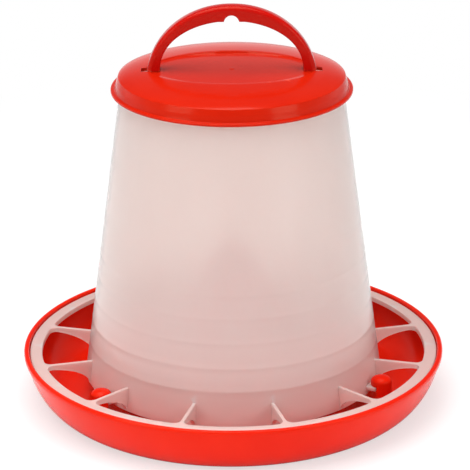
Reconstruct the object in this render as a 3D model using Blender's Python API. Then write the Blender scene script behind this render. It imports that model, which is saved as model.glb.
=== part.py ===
"""Poultry feeder: a red pan, a translucent hopper with a feed-saver grid, a red lid and its handle.

All sizes are in metres, +Z is up, and the pan's foot stands on z = 0 with its centre on the Z axis.
"""

import math

import bmesh
import bpy
from mathutils import Matrix, Vector

# Clearances
SEAT_GAP = 0.0003
SLIDE_GAP = 0.0006

# Pan
PAN_RIM_RADIUS = 0.130
PAN_HEIGHT = 0.0308
PAN_RIM_WIDTH = 0.0032
PAN_LIP_HEIGHT = 0.0028
PAN_LIP_STEP = 0.0011
PAN_FOOT_RADIUS = 0.112
PAN_FOOT_WIDTH = 0.0055
PAN_FOOT_RISE = 0.0010
PAN_WALL = 0.0023
LEDGE_WIDTH = 0.0018
CONE_HEIGHT = 0.1015
CONE_BASE_RADIUS = 0.079
CONE_TIP_RADIUS = 0.0035
CONE_UNDER_TIP_RADIUS = 0.0018
CONE_TIP_FILLET = 0.0040
CONE_BASE_FILLET = 0.0100
CONE_UNDER_FILLET = 0.0080
RIM_INNER_FILLET = 0.0009
RIM_OUTER_FILLET = 0.0012
PAN_LIP_DRAFT = 0.0004
# How far the side's curve is pulled along its ends, as shares of its width and height
PAN_SIDE_TOP_PULL = (0.10, 0.35)
PAN_SIDE_FOOT_PULL = (0.56, 0.15)

# Hopper
HOPPER_TOP_RADIUS = 0.0666
HOPPER_TOP_Z = 0.2012
HOPPER_SKIRT_RADIUS = 0.0919
HOPPER_SKIRT_Z = 0.0145
HOPPER_WALL = 0.0020
HOPPER_BEAD = 0.0004
HOPPER_BEAD_HEIGHT = 0.0022

# Feed-saver grid, moulded with the hopper
GRID_WIDTH = 0.0074
GRID_THICKNESS = 0.0030
GRID_BELOW_RIM = 0.0015
GRID_EDGE = 0.0005
FIN_COUNT = 12
FIN_FIRST_ANGLE = math.radians(15.0)
FIN_THICKNESS = 0.0022
FIN_FLARE = 0.0048
FIN_ABOVE_SKIRT_EDGE = 0.0004
# Share of a fin's width that its top keeps, for the mould's draft
FIN_DRAFT = 0.86
# Share of the ring that a fin's end is sunk into
FIN_ROOT = 1 / 3

# Bayonet lock between the pan and the hopper
LUG_COUNT = 3
LUG_FIRST_ANGLE = math.radians(96.0)
LUG_HEAD_RADIUS = 0.0064
LUG_HEAD_RIM = 0.0022
LUG_HEAD_DOME = 0.0036
LUG_POST_RADIAL = 0.0050
LUG_POST_WIDTH = 0.0090
TAB_ABOVE_SKIRT_EDGE = 0.0027
TAB_REACH = 0.0055
TAB_WIDTH = 0.0130
TAB_THICKNESS = 0.0024

# Lid
LID_WALL = 0.0020
LID_FLANGE_WIDTH = 0.0024
LID_FLANGE_THICKNESS = 0.0016
LID_SIDE_HEIGHT = 0.0062
LID_DRAFT = 0.0010
LID_SHOULDER_HEIGHT = 0.0022
LID_SHOULDER_INSET = 0.0017
LID_DOME_HEIGHT = 0.0077
LID_SHOULDER_FILLET = 0.0012
LID_FLANGE_TOP_FILLET = 0.0006
LID_FLANGE_UNDER_FILLET = 0.0004
# How far the dome's curve is pulled along its top and its side, as shares of its radius and height
DOME_TOP_PULL = 0.60
DOME_SIDE_PULL = 0.89
DOME_SIDE_DROP = 0.34

# Finger recess in the lid, under the handle
RECESS_LENGTH = 0.098
RECESS_WIDTH = 0.065
RECESS_EDGE_BELOW_DOME = 0.0029
RECESS_DISH = 0.0014
RECESS_DRAFT = 0.97
RECESS_BOWL_WALL = 0.0018

# Thick seat under each handle foot
BOSS_INNER_MARGIN = 0.0036
BOSS_OUTER_MARGIN = 0.0020
BOSS_SIDE_MARGIN = 0.0016
BOSS_BELOW_PAD = 0.0009
POCKET_INNER_GAP = 0.0004
CUT_PAST = 0.0020

# Handle
HANDLE_HALF_SPAN = 0.05155
HANDLE_TOP_Z = 0.2484
HANDLE_BAND = 0.0089
HANDLE_FOOT_BAND = 0.00785
HANDLE_RISE = 0.0489
HANDLE_DEPTH = 0.0100
HANDLE_OUTER_EDGE = 0.0026
HANDLE_INNER_EDGE = 0.0007
LEG_THICKNESS = 0.0048
LEG_WIDTH = 0.0064
LEG_SUNK = 0.0024
TOE_LENGTH = 0.0032
TOE_THICKNESS = 0.0024
SLOT_FREE_LENGTH = 0.0036
HOOK_NOTCH_MOUTH = 0.0100
HOOK_NOTCH_TOP = 0.0058
HOOK_NOTCH_DEPTH = 0.0034
HOOK_NOTCH_LIP = 0.0009
HOOK_NOTCH_LIP_WIDTH = 0.0012
HOOK_NOTCH_LEAD = 0.0020
HANDLE_INNER_FULLNESS = 0.93

# Faces round one turn
PAN_SEGMENTS = 72
HOPPER_SEGMENTS = 84
LID_SEGMENTS = 64
ARC_STEPS = 3
FIN_WEB_STEPS = 5
FIN_FLARE_STEPS = 5
RECESS_SEGMENTS = 44
LUG_SEGMENTS = 14
LUG_DOME_STEPS = 4
HANDLE_OUTER_STEPS = 30
HANDLE_INNER_STEPS = 11
SMOOTH_ANGLE = math.radians(32.0)

# Sizes that follow from the ones above
RIM_INNER_RADIUS = PAN_RIM_RADIUS - PAN_RIM_WIDTH
GRID_TOP_Z = PAN_HEIGHT - GRID_BELOW_RIM
GRID_BOTTOM_Z = GRID_TOP_Z - GRID_THICKNESS
GRID_OUTER_RADIUS = RIM_INNER_RADIUS - SLIDE_GAP
GRID_INNER_RADIUS = GRID_OUTER_RADIUS - GRID_WIDTH
LEDGE_Z = GRID_BOTTOM_Z - SEAT_GAP
LEDGE_INNER_RADIUS = RIM_INNER_RADIUS - LEDGE_WIDTH
PAN_FLOOR_Z = PAN_FOOT_RISE + PAN_WALL
TAB_Z = HOPPER_SKIRT_Z + TAB_ABOVE_SKIRT_EDGE
TAB_TOP_Z = TAB_Z + TAB_THICKNESS
LUG_HEAD_Z = TAB_TOP_Z + SEAT_GAP
LUG_RADIUS = HOPPER_SKIRT_RADIUS + SEAT_GAP + LUG_HEAD_RADIUS
LUG_POST_RADIUS = HOPPER_SKIRT_RADIUS + TAB_REACH + SLIDE_GAP + LUG_POST_RADIAL / 2
LID_STOP_Z = HOPPER_TOP_Z + SEAT_GAP
LID_INNER_RADIUS = HOPPER_TOP_RADIUS + HOPPER_BEAD + SEAT_GAP
LID_SIDE_RADIUS = LID_INNER_RADIUS + LID_WALL
LID_BASE_RADIUS = LID_SIDE_RADIUS + LID_DRAFT
LID_BOTTOM_Z = LID_STOP_Z - LID_SIDE_HEIGHT + LID_FLANGE_THICKNESS / 2
LID_SHOULDER_Z = LID_STOP_Z + LID_SHOULDER_HEIGHT
LID_TOP_Z = LID_SHOULDER_Z + LID_DOME_HEIGHT
RECESS_EDGE_Z = LID_TOP_Z - RECESS_EDGE_BELOW_DOME
RECESS_FLOOR_Z = RECESS_EDGE_Z - RECESS_DISH
PAD_Z = RECESS_EDGE_Z
FOOT_Z = PAD_Z + SEAT_GAP
HANDLE_CENTRE_Z = HANDLE_TOP_Z - HANDLE_RISE
SLOT_HALF_WIDTH = LEG_WIDTH / 2 + SEAT_GAP
POCKET_HALF_WIDTH = HANDLE_DEPTH / 2 + SEAT_GAP
BOSS_BOTTOM_Z = RECESS_FLOOR_Z - LID_WALL + RECESS_DISH / 2
TOE_TOP_Z = BOSS_BOTTOM_Z - SEAT_GAP
LEG_BOTTOM_Z = TOE_TOP_Z - TOE_THICKNESS


def clear_scene():
    """Remove every object that the file opened with."""
    for item in list(bpy.data.objects):
        bpy.data.objects.remove(item, do_unlink=True)


def plastic(name, colour, roughness, alpha=1.0):
    """Return a moulded plastic with the given colour."""
    material = bpy.data.materials.new(name)
    material.use_nodes = True
    shader = material.node_tree.nodes["Principled BSDF"]
    shader.inputs["Base Color"].default_value = (*colour, 1.0)
    shader.inputs["Roughness"].default_value = roughness
    shader.inputs["Metallic"].default_value = 0.0
    shader.inputs["Alpha"].default_value = alpha
    material.diffuse_color = (*colour, alpha)
    return material


def link(name, mesh, material=None):
    """Put a mesh into the scene as a named object."""
    item = bpy.data.objects.new(name, mesh)
    bpy.context.collection.objects.link(item)
    if material:
        mesh.materials.append(material)
    return item


def finish_mesh(shape, name):
    """Close a bmesh, point its faces outwards and return it as a mesh that is smooth where it is round."""
    bmesh.ops.recalc_face_normals(shape, faces=shape.faces[:])
    mesh = bpy.data.meshes.new(name)
    shape.to_mesh(mesh)
    shape.free()
    mesh.shade_smooth()
    mesh.set_sharp_from_angle(angle=SMOOTH_ANGLE)
    return mesh


def rounded(corners):
    """Return a path through (x, z, radius) corners, each rounded by an arc of its radius."""
    path = []
    last = len(corners) - 1
    for index, (x, z, radius) in enumerate(corners):
        corner = Vector((x, z))
        if radius <= 0.0 or index in (0, last):
            path.append(corner)
            continue
        before = (Vector(corners[index - 1][:2]) - corner).normalized()
        after = (Vector(corners[index + 1][:2]) - corner).normalized()
        half_angle = before.angle(after) / 2
        middle = (before + after).normalized()
        centre = corner + middle * (radius / math.sin(half_angle))
        start = (corner + before * (radius / math.tan(half_angle)) - centre).normalized()
        end = (corner + after * (radius / math.tan(half_angle)) - centre).normalized()
        for step in range(ARC_STEPS + 1):
            path.append(centre + start.slerp(end, step / ARC_STEPS) * radius)
    return path


def bezier(start, pull_start, pull_end, end, steps):
    """Return points along a cubic curve from start to end."""
    points = []
    for step in range(steps + 1):
        t = step / steps
        s = 1.0 - t
        points.append(start * s**3 + pull_start * (3 * s * s * t) + pull_end * (3 * s * t * t) + end * t**3)
    return points


def turned(name, path, segments, closed=False):
    """Spin a path of (radius, height) points round the Z axis."""
    shape = bmesh.new()
    ring = [shape.verts.new((point.x, 0.0, point.y)) for point in path]
    edges = [shape.edges.new(pair) for pair in zip(ring, ring[1:])]
    if closed:
        edges.append(shape.edges.new((ring[-1], ring[0])))
    bmesh.ops.spin(
        shape,
        geom=ring + edges,
        cent=(0, 0, 0),
        axis=(0, 0, 1),
        angle=math.tau,
        steps=segments,
        use_merge=True,
    )
    bmesh.ops.remove_doubles(shape, verts=shape.verts[:], dist=0.000001)
    return finish_mesh(shape, name)


def lofted(name, sections):
    """Join sections, each a closed loop of the same number of points, and cap both ends."""
    shape = bmesh.new()
    loops = [[shape.verts.new(point) for point in section] for section in sections]
    for near, far in zip(loops, loops[1:]):
        for index in range(len(near)):
            following = (index + 1) % len(near)
            shape.faces.new((near[index], near[following], far[following], far[index]))
    shape.faces.new(loops[0])
    shape.faces.new(loops[-1])
    return finish_mesh(shape, name)


def extruded(name, outline, depth):
    """Extrude a closed outline of (x, z) points by depth, evenly about the plane y = 0."""
    front = [Vector((x, -depth / 2, z)) for x, z in outline]
    back = [Vector((x, depth / 2, z)) for x, z in outline]
    return lofted(name, [front, back])


def block(name, low, high):
    """Return a box between two corners."""
    outline = [(low[0], low[2]), (high[0], low[2]), (high[0], high[2]), (low[0], high[2])]
    front = [Vector((x, low[1], z)) for x, z in outline]
    back = [Vector((x, high[1], z)) for x, z in outline]
    return lofted(name, [front, back])


def helper(name, mesh, turn=0.0):
    """Put a tool body into the scene: it shapes another object and isn't a piece itself."""
    item = link(name, mesh)
    item.rotation_euler.z = turn
    item.hide_render = True
    item.display_type = "WIRE"
    return item


def combine(target, operation, tool):
    """Join a tool body to the target, or cut it away."""
    modifier = target.modifiers.new(tool.name, "BOOLEAN")
    modifier.operation = operation
    modifier.solver = "EXACT"
    modifier.object = tool


def hopper_radius(z):
    """Return the hopper's outer radius at a height."""
    share = (z - HOPPER_SKIRT_Z) / (HOPPER_TOP_Z - HOPPER_SKIRT_Z)
    return HOPPER_SKIRT_RADIUS + (HOPPER_TOP_RADIUS - HOPPER_SKIRT_RADIUS) * share


def pan_wall_curve(top, foot):
    """Return the pan's rounded side from its top to its foot: steep above and tucked in below."""
    span = top - foot
    pull_top = top - span * Vector(PAN_SIDE_TOP_PULL)
    pull_foot = foot + span * Vector(PAN_SIDE_FOOT_PULL)
    return bezier(top, pull_top, pull_foot, foot, 6)


def pan_profile():
    """Return the pan's section from the tip of its cone, over the rim, and back under the cone."""
    floor_outer = PAN_FOOT_RADIUS - PAN_WALL
    inside = rounded([
        (0.0, CONE_HEIGHT, 0.0),
        (CONE_TIP_RADIUS, CONE_HEIGHT, CONE_TIP_FILLET),
        (CONE_BASE_RADIUS, PAN_FLOOR_Z, CONE_BASE_FILLET),
        (floor_outer, PAN_FLOOR_Z, 0.0),
    ])
    inner_wall = pan_wall_curve(Vector((LEDGE_INNER_RADIUS, LEDGE_Z)), Vector((floor_outer, PAN_FLOOR_Z)))
    lip_z = PAN_HEIGHT - PAN_LIP_HEIGHT
    wall_top = Vector((PAN_RIM_RADIUS - PAN_LIP_STEP, lip_z - PAN_LIP_DRAFT))
    rim = rounded([
        (LEDGE_INNER_RADIUS, LEDGE_Z, 0.0),
        (RIM_INNER_RADIUS, LEDGE_Z, 0.0),
        (RIM_INNER_RADIUS, PAN_HEIGHT, RIM_INNER_FILLET),
        (PAN_RIM_RADIUS, PAN_HEIGHT, RIM_OUTER_FILLET),
        (PAN_RIM_RADIUS, lip_z, 0.0),
        (wall_top.x, wall_top.y, 0.0),
    ])
    outer_wall = pan_wall_curve(wall_top, Vector((PAN_FOOT_RADIUS, 0.0)))
    foot_inner = PAN_FOOT_RADIUS - PAN_FOOT_WIDTH
    under_base = CONE_BASE_RADIUS - PAN_WALL
    underside = rounded([
        (foot_inner, 0.0, 0.0),
        (foot_inner - PAN_FOOT_RISE, PAN_FOOT_RISE, 0.0),
        (under_base, PAN_FOOT_RISE, CONE_UNDER_FILLET),
        (CONE_UNDER_TIP_RADIUS, CONE_HEIGHT - PAN_WALL, 0.0),
        (0.0, CONE_HEIGHT - PAN_WALL, 0.0),
    ])
    return inside[:-1] + inner_wall[:0:-1] + rim[:-1] + outer_wall + underside


def lug_parts(index):
    """Add one bayonet lug: a post on the trough's floor under a domed head that reaches inwards."""
    turn = LUG_FIRST_ANGLE + index * math.tau / LUG_COUNT
    head_top = LUG_HEAD_Z + LUG_HEAD_RIM
    path = [Vector((0.0, LUG_HEAD_Z)), Vector((LUG_HEAD_RADIUS, LUG_HEAD_Z))]
    for step in range(LUG_DOME_STEPS + 1):
        angle = step * math.pi / 2 / LUG_DOME_STEPS
        path.append(Vector((LUG_HEAD_RADIUS * math.cos(angle), head_top + LUG_HEAD_DOME * math.sin(angle))))
    path[-1].x = 0.0
    head = turned(f"lug_head_{index}", path, LUG_SEGMENTS)
    head.transform(Matrix.Translation((LUG_RADIUS, 0.0, 0.0)))
    post_low = (LUG_POST_RADIUS - LUG_POST_RADIAL / 2, -LUG_POST_WIDTH / 2, PAN_FOOT_RISE + PAN_WALL / 2)
    post_high = (LUG_POST_RADIUS + LUG_POST_RADIAL / 2, LUG_POST_WIDTH / 2, LUG_HEAD_Z + LUG_HEAD_RIM / 2)
    post = block(f"lug_post_{index}", post_low, post_high)
    return [
        helper(f"lug_post_tool_{index}", post, turn),
        helper(f"lug_head_tool_{index}", head, turn),
    ]


def make_pan(material):
    """Make the pan: trough, central cone, rim with a seat for the grid, and bayonet lugs."""
    pan = link("base_pan", turned("base_pan", pan_profile(), PAN_SEGMENTS), material)
    for index in range(LUG_COUNT):
        for tool in lug_parts(index):
            combine(pan, "UNION", tool)
    return pan


def hopper_profile():
    """Return the hopper wall's section as a closed loop."""
    bead_z = HOPPER_TOP_Z - HOPPER_BEAD_HEIGHT
    bead_radius = HOPPER_TOP_RADIUS + HOPPER_BEAD
    return rounded([
        (HOPPER_SKIRT_RADIUS - HOPPER_WALL, HOPPER_SKIRT_Z, 0.0),
        (HOPPER_SKIRT_RADIUS, HOPPER_SKIRT_Z, 0.0),
        (hopper_radius(bead_z), bead_z, 0.0),
        (bead_radius, bead_z + HOPPER_BEAD, 0.0),
        (bead_radius, HOPPER_TOP_Z - HOPPER_BEAD, 0.0),
        (HOPPER_TOP_RADIUS, HOPPER_TOP_Z, 0.0),
        (HOPPER_TOP_RADIUS - HOPPER_WALL, HOPPER_TOP_Z, 0.0),
    ])


def fin_section(lower_radius, upper_radius, lower_z, half_width):
    """Return a fin's section across its length, narrower at the top by the mould's draft."""
    upper_half = half_width * FIN_DRAFT
    return [
        Vector((lower_radius, -half_width, lower_z)),
        Vector((lower_radius, half_width, lower_z)),
        Vector((upper_radius, upper_half, GRID_TOP_Z)),
        Vector((upper_radius, -upper_half, GRID_TOP_Z)),
    ]


def fin_mesh():
    """Return one fin of the grid: a web with a quarter-round lower edge that flares into the ring."""
    reach = GRID_INNER_RADIUS - HOPPER_SKIRT_RADIUS
    # The flare is a fillet, and takes at most half of the fin's length
    flare_radius = min(FIN_FLARE, reach / 2)
    flare_start = GRID_INNER_RADIUS - flare_radius
    arch_foot_z = HOPPER_SKIRT_Z + FIN_ABOVE_SKIRT_EDGE
    arch_rise = GRID_BOTTOM_Z - arch_foot_z
    half = FIN_THICKNESS / 2
    foot = hopper_radius(arch_foot_z) - HOPPER_WALL / 2
    head = hopper_radius(GRID_TOP_Z) - HOPPER_WALL / 2
    sections = [fin_section(foot, head, arch_foot_z, half)]
    web_angle = math.acos(flare_radius / reach)
    for step in range(FIN_WEB_STEPS + 1):
        angle = web_angle * step / FIN_WEB_STEPS
        radius = GRID_INNER_RADIUS - reach * math.cos(angle)
        sections.append(fin_section(radius, radius, arch_foot_z + arch_rise * math.sin(angle), half))
    for step in range(1, FIN_FLARE_STEPS):
        turn = step * math.pi / 2 / FIN_FLARE_STEPS
        radius = flare_start + flare_radius * math.sin(turn)
        arch = math.sqrt(1 - ((GRID_INNER_RADIUS - radius) / reach) ** 2)
        half_width = half + flare_radius * (1 - math.cos(turn))
        sections.append(fin_section(radius, radius, arch_foot_z + arch_rise * arch, half_width))
    buried = GRID_INNER_RADIUS + GRID_WIDTH * FIN_ROOT
    buried_z = GRID_BOTTOM_Z + GRID_THICKNESS * FIN_ROOT
    sections.append(fin_section(buried, buried, buried_z, half + flare_radius))
    return lofted("fin", sections)


def make_hopper(material):
    """Make the hopper: a conical wall, its grid of fins and ring, and the tabs that the lugs hold."""
    hopper = link("hopper", turned("hopper", hopper_profile(), HOPPER_SEGMENTS, closed=True), material)
    ring_path = [
        Vector((GRID_INNER_RADIUS, GRID_BOTTOM_Z)),
        Vector((GRID_OUTER_RADIUS, GRID_BOTTOM_Z)),
        Vector((GRID_OUTER_RADIUS, GRID_TOP_Z - GRID_EDGE)),
        Vector((GRID_OUTER_RADIUS - GRID_EDGE, GRID_TOP_Z)),
        Vector((GRID_INNER_RADIUS + GRID_EDGE, GRID_TOP_Z)),
        Vector((GRID_INNER_RADIUS, GRID_TOP_Z - GRID_EDGE)),
    ]
    combine(hopper, "UNION", helper("grid_ring", turned("grid_ring", ring_path, HOPPER_SEGMENTS, closed=True)))
    for index in range(FIN_COUNT):
        turn = FIN_FIRST_ANGLE + index * math.tau / FIN_COUNT
        combine(hopper, "UNION", helper(f"fin_{index}", fin_mesh(), turn))
    for index in range(LUG_COUNT):
        turn = LUG_FIRST_ANGLE + index * math.tau / LUG_COUNT
        low = (hopper_radius(TAB_Z) - HOPPER_WALL / 2, -TAB_WIDTH / 2, TAB_Z)
        high = (HOPPER_SKIRT_RADIUS + TAB_REACH, TAB_WIDTH / 2, TAB_TOP_Z)
        combine(hopper, "UNION", helper(f"tab_{index}", block("tab", low, high), turn))
    return hopper


def lid_profile():
    """Return the lid's section from the top of its dome, round the flange, and back under the dome."""
    shoulder = Vector((LID_SIDE_RADIUS - LID_SHOULDER_INSET, LID_SHOULDER_Z))
    dome = bezier(
        Vector((0.0, LID_TOP_Z)),
        Vector((shoulder.x * DOME_TOP_PULL, LID_TOP_Z)),
        Vector((shoulder.x * DOME_SIDE_PULL, LID_TOP_Z - LID_DOME_HEIGHT * DOME_SIDE_DROP)),
        shoulder,
        7,
    )
    flange_radius = LID_BASE_RADIUS + LID_FLANGE_WIDTH
    flange_top = LID_BOTTOM_Z + LID_FLANGE_THICKNESS
    skirt_radius = LID_INNER_RADIUS + LID_DRAFT
    edge = rounded([
        (shoulder.x, shoulder.y, 0.0),
        (LID_SIDE_RADIUS, LID_STOP_Z, LID_SHOULDER_FILLET),
        (LID_BASE_RADIUS, flange_top, 0.0),
        (flange_radius, flange_top, LID_FLANGE_TOP_FILLET),
        (flange_radius, LID_BOTTOM_Z, LID_FLANGE_UNDER_FILLET),
        (skirt_radius, LID_BOTTOM_Z, 0.0),
        (LID_INNER_RADIUS, LID_STOP_Z, 0.0),
        (HOPPER_TOP_RADIUS - HOPPER_WALL, LID_STOP_Z, 0.0),
    ])
    under_shoulder = Vector((HOPPER_TOP_RADIUS - HOPPER_WALL, LID_SHOULDER_Z - LID_WALL / 2))
    under_dome = bezier(
        under_shoulder,
        Vector((under_shoulder.x * DOME_SIDE_PULL, LID_TOP_Z - LID_WALL - LID_DOME_HEIGHT * DOME_SIDE_DROP)),
        Vector((under_shoulder.x * DOME_TOP_PULL, LID_TOP_Z - LID_WALL)),
        Vector((0.0, LID_TOP_Z - LID_WALL)),
        4,
    )
    return dome[:-1] + edge + under_dome


def recess_tool(name, grow, drop, top_z):
    """Return an elliptical body with a shallow dished floor, grown and dropped from the recess."""
    path = [Vector((0.0, top_z)), Vector((1.0, top_z)), Vector((RECESS_DRAFT, RECESS_EDGE_Z - drop))]
    for share in (0.7, 0.35, 0.0):
        height = RECESS_FLOOR_Z + (RECESS_EDGE_Z - RECESS_FLOOR_Z) * share**2 - drop
        path.append(Vector((share * RECESS_DRAFT, height)))
    mesh = turned(name, path, RECESS_SEGMENTS)
    mesh.transform(Matrix.Diagonal((RECESS_LENGTH / 2 + grow, RECESS_WIDTH / 2 + grow, 1.0, 1.0)))
    return helper(name, mesh)


def foot_span(side):
    """Return the near and far x of one handle foot at the height where it seats."""
    outer = HANDLE_HALF_SPAN * math.sqrt(1 - ((FOOT_Z - HANDLE_CENTRE_Z) / HANDLE_RISE) ** 2)
    inner = outer - HANDLE_FOOT_BAND
    return side * inner, side * outer


def sorted_block(name, x_pair, half_width, z_pair):
    """Return a box from two x values in either order, centred on y = 0."""
    low = (min(x_pair), -half_width, z_pair[0])
    high = (max(x_pair), half_width, z_pair[1])
    return block(name, low, high)


def make_lid(material):
    """Make the lid: a domed cap with a flange, a finger recess and a slot for each handle leg."""
    lid = link("lid", turned("lid", lid_profile(), LID_SEGMENTS), material)
    under_recess = recess_tool("recess_bowl", RECESS_BOWL_WALL, LID_WALL, RECESS_EDGE_Z)
    combine(lid, "UNION", under_recess)
    for label, side in (("left", -1), ("right", 1)):
        inner, outer = foot_span(side)
        boss_x = (inner - side * BOSS_INNER_MARGIN, outer + side * (SLOT_FREE_LENGTH + BOSS_OUTER_MARGIN))
        boss_z = (BOSS_BOTTOM_Z, PAD_Z - BOSS_BELOW_PAD)
        boss = sorted_block(f"boss_{label}", boss_x, POCKET_HALF_WIDTH + BOSS_SIDE_MARGIN, boss_z)
        combine(lid, "UNION", helper(f"boss_{label}", boss))
    combine(lid, "DIFFERENCE", recess_tool("recess", 0.0, 0.0, LID_TOP_Z + CUT_PAST))
    for label, side in (("left", -1), ("right", 1)):
        inner, outer = foot_span(side)
        slot_x = (inner, outer + side * SLOT_FREE_LENGTH)
        pocket_x = (inner - side * POCKET_INNER_GAP, slot_x[1])
        pocket = sorted_block(f"pocket_{label}", pocket_x, POCKET_HALF_WIDTH, (PAD_Z, LID_TOP_Z))
        combine(lid, "DIFFERENCE", helper(f"pocket_{label}", pocket))
        slot = sorted_block(f"slot_{label}", slot_x, SLOT_HALF_WIDTH, (BOSS_BOTTOM_Z - CUT_PAST, LID_TOP_Z))
        combine(lid, "DIFFERENCE", helper(f"slot_{label}", slot))
    return lid


def handle_paths():
    """Return the arch's outer and inner paths seen from the front, with the hook notch in the inner one."""
    outer = []
    outer_start = math.asin((FOOT_Z - HANDLE_CENTRE_Z) / HANDLE_RISE)
    for step in range(HANDLE_OUTER_STEPS + 1):
        angle = outer_start + (math.pi - 2 * outer_start) * step / HANDLE_OUTER_STEPS
        height = HANDLE_CENTRE_Z + HANDLE_RISE * math.sin(angle)
        outer.append(Vector((HANDLE_HALF_SPAN * math.cos(angle), height)))
    inner_x = foot_span(1)[0]
    crown_z = HANDLE_TOP_Z - HANDLE_BAND
    mouth = HOOK_NOTCH_MOUTH / 2
    inner_end = math.acos(-(mouth + HOOK_NOTCH_LIP_WIDTH + HOOK_NOTCH_LEAD) / inner_x)
    left = []
    for step in range(HANDLE_INNER_STEPS + 1):
        angle = math.pi + (inner_end - math.pi) * step / HANDLE_INNER_STEPS
        height = FOOT_Z + (crown_z - FOOT_Z) * math.sin(angle) ** HANDLE_INNER_FULLNESS
        left.append(Vector((inner_x * math.cos(angle), height)))
    left += [
        Vector((-mouth - HOOK_NOTCH_LIP_WIDTH, crown_z - HOOK_NOTCH_LIP * 2 / 3)),
        Vector((-mouth, crown_z - HOOK_NOTCH_LIP)),
        Vector((-mouth + HOOK_NOTCH_LIP, crown_z - HOOK_NOTCH_LIP / 3)),
        Vector((-HOOK_NOTCH_TOP / 2, crown_z + HOOK_NOTCH_DEPTH * 3 / 4)),
        Vector((-HOOK_NOTCH_TOP / 4, crown_z + HOOK_NOTCH_DEPTH)),
    ]
    return outer, left + [Vector((-point.x, point.y)) for point in reversed(left)]


def shifted(path, distance):
    """Return an open path moved to its left by a distance, with both ends kept at their height."""
    moved = []
    last = len(path) - 1
    for index, point in enumerate(path):
        along = (path[min(index + 1, last)] - path[max(index - 1, 0)]).normalized()
        moved.append(point + Vector((-along.y, along.x)) * distance)
    moved[0].y = path[0].y
    moved[last].y = path[last].y
    return moved


def edge_shift(depth, radius):
    """Return how far a rounded edge stands in from the side, at a depth below the face it ends at."""
    left = max(0.0, radius - depth)
    return radius - math.sqrt(radius**2 - left**2)


def arch_mesh():
    """Return the arch: its outline at several depths, so that its outer edges are rounder than its inner."""
    outer, inner = handle_paths()
    depths = [0.0, HANDLE_INNER_EDGE / 2, HANDLE_INNER_EDGE]
    depths += [HANDLE_OUTER_EDGE * share for share in (0.55, 1.0)]
    sections = []
    for side, order in ((-1, depths), (1, depths[::-1])):
        for depth in order:
            y = side * (HANDLE_DEPTH / 2 - depth)
            section = shifted(outer, edge_shift(depth, HANDLE_OUTER_EDGE))
            section += shifted(inner, edge_shift(depth, HANDLE_INNER_EDGE))
            sections.append([Vector((point.x, y, point.y)) for point in section])
    return lofted("handle", sections)


def make_handle(material):
    """Make the handle: a springy arch whose two legs pass through the lid and catch under it."""
    handle = link("handle", arch_mesh(), material)
    for label, side in (("left", -1), ("right", 1)):
        inner, _ = foot_span(side)
        face = inner + side * SEAT_GAP
        back = face + side * LEG_THICKNESS
        toe = face - side * TOE_LENGTH
        top = FOOT_Z + LEG_SUNK
        outline = [
            (back, top),
            (back, LEG_BOTTOM_Z),
            (toe + side * TOE_THICKNESS / 2, LEG_BOTTOM_Z),
            (toe, TOE_TOP_Z),
            (face, TOE_TOP_Z),
            (face, top),
        ]
        combine(handle, "UNION", helper(f"leg_{label}", extruded(f"leg_{label}", outline, LEG_WIDTH)))
    return handle


def main():
    """Build the four pieces."""
    clear_scene()
    red = (0.83, 0.035, 0.012)
    make_pan(plastic("red_pan", red, 0.32))
    make_hopper(plastic("milky_hopper", (0.90, 0.83, 0.80), 0.38, alpha=0.72))
    make_lid(plastic("red_lid", red, 0.30))
    make_handle(plastic("red_handle", red, 0.30))


main()
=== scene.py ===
"""Poultry feeder: the finished look of its pan, hopper, lid and handle, in a plain white studio.

All sizes are in metres and +Z is up. The pan stands on z = 0 with its centre on the Z axis.
"""

from __future__ import annotations

import logging
import math
from contextlib import contextmanager
from dataclasses import dataclass, field
from enum import Enum
from typing import Callable, Iterable, Iterator

import bpy
from mathutils import Euler, Matrix, Vector


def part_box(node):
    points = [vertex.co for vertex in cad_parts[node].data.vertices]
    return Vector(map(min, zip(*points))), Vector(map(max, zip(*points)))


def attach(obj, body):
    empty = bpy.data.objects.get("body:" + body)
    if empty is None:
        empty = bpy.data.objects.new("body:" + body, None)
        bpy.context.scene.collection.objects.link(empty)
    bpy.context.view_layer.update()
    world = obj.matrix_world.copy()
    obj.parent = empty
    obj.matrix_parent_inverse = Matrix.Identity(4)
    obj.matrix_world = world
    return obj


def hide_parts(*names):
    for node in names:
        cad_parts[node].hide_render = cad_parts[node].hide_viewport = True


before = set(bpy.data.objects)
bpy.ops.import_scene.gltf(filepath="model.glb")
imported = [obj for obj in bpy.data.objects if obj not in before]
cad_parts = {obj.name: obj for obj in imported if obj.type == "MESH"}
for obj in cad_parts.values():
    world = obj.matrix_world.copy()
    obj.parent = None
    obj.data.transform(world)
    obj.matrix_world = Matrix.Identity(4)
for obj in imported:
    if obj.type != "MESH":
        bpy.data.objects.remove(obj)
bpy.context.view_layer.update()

Piece = bpy.types.Object
Socket = bpy.types.NodeSocket
Triple = tuple[float, float, float]

LOG = logging.getLogger("feeder")
BODY = "root"
SIDES = 192
SEAT_GAP = 0.0003
POLE_RADIUS = 0.0004
MERGE_DISTANCE = 0.000002
SMOOTH_ANGLE = math.radians(34.0)
SHARP_ANGLE = math.radians(45.0)
QUARTER_TURN = math.pi / 2
ORIGIN = (0.0, 0.0, 0.0)
EVEN = Vector((1.0, 1.0, 1.0))
WHITE = (1.0, 1.0, 1.0, 1.0)


class Join(Enum):
    """How a tool body works on the piece it meets."""

    ADD = "UNION"
    CUT = "DIFFERENCE"


class Side(Enum):
    """The two sides of the handle, seen from the front."""

    LEFT = -1
    RIGHT = 1


@dataclass(frozen=True)
class Ring:
    """One ring of a body that is drawn round the Z axis: its two half widths and its height."""

    rx: float
    ry: float
    z: float


# Paths and rings


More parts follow.
